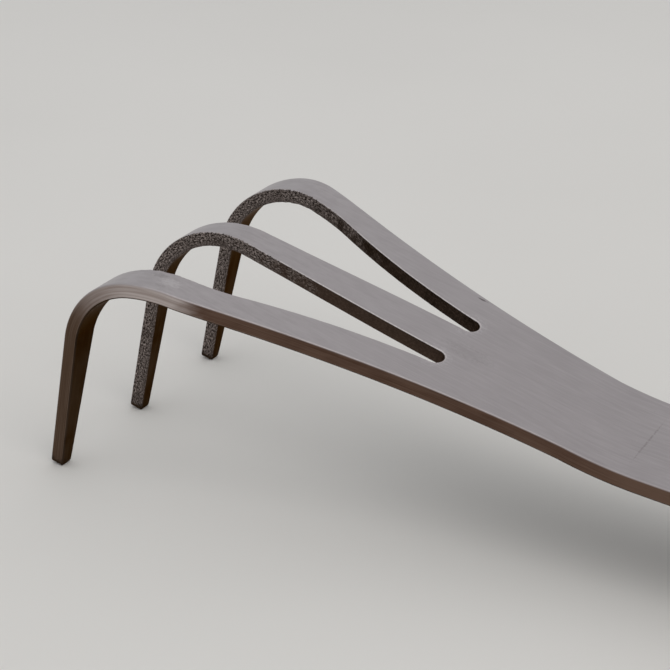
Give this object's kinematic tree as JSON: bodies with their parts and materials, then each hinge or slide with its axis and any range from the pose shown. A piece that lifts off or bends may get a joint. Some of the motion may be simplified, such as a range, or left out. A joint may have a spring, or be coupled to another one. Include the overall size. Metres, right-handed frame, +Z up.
{
  "type": "hand cultivator",
  "caption": "Hand cultivator for loosening soil: bent steel tines and tang in one plate, riveted wooden handle scales and a hanging hole.",
  "frame": {"origin": "middle of the bounding box at floor level, with the tool lying on its tine tips and its butt", "axes": "+X from the tines to the butt of the handle, +Y across the tool, +Z up"},
  "size_m": [0.293, 0.0696, 0.0509],
  "materials": {
    "steel": "satin top face with fine lengthwise brushing, ground outer edges, dark rough slot walls",
    "wood": "oiled, fine grain along the handle",
    "brass": "filed flush, lightly brushed"
  },
  "bodies": {
    "root": {"head_plate": "steel", "upper_scale": "wood", "lower_scale": "wood", "front_rivet_socket": "brass", "front_rivet_pin": "brass", "middle_rivet_socket": "brass", "middle_rivet_pin": "brass", "rear_rivet_socket": "brass", "rear_rivet_pin": "brass", "hang_tube": "brass"}
  },
  "joints": []
}
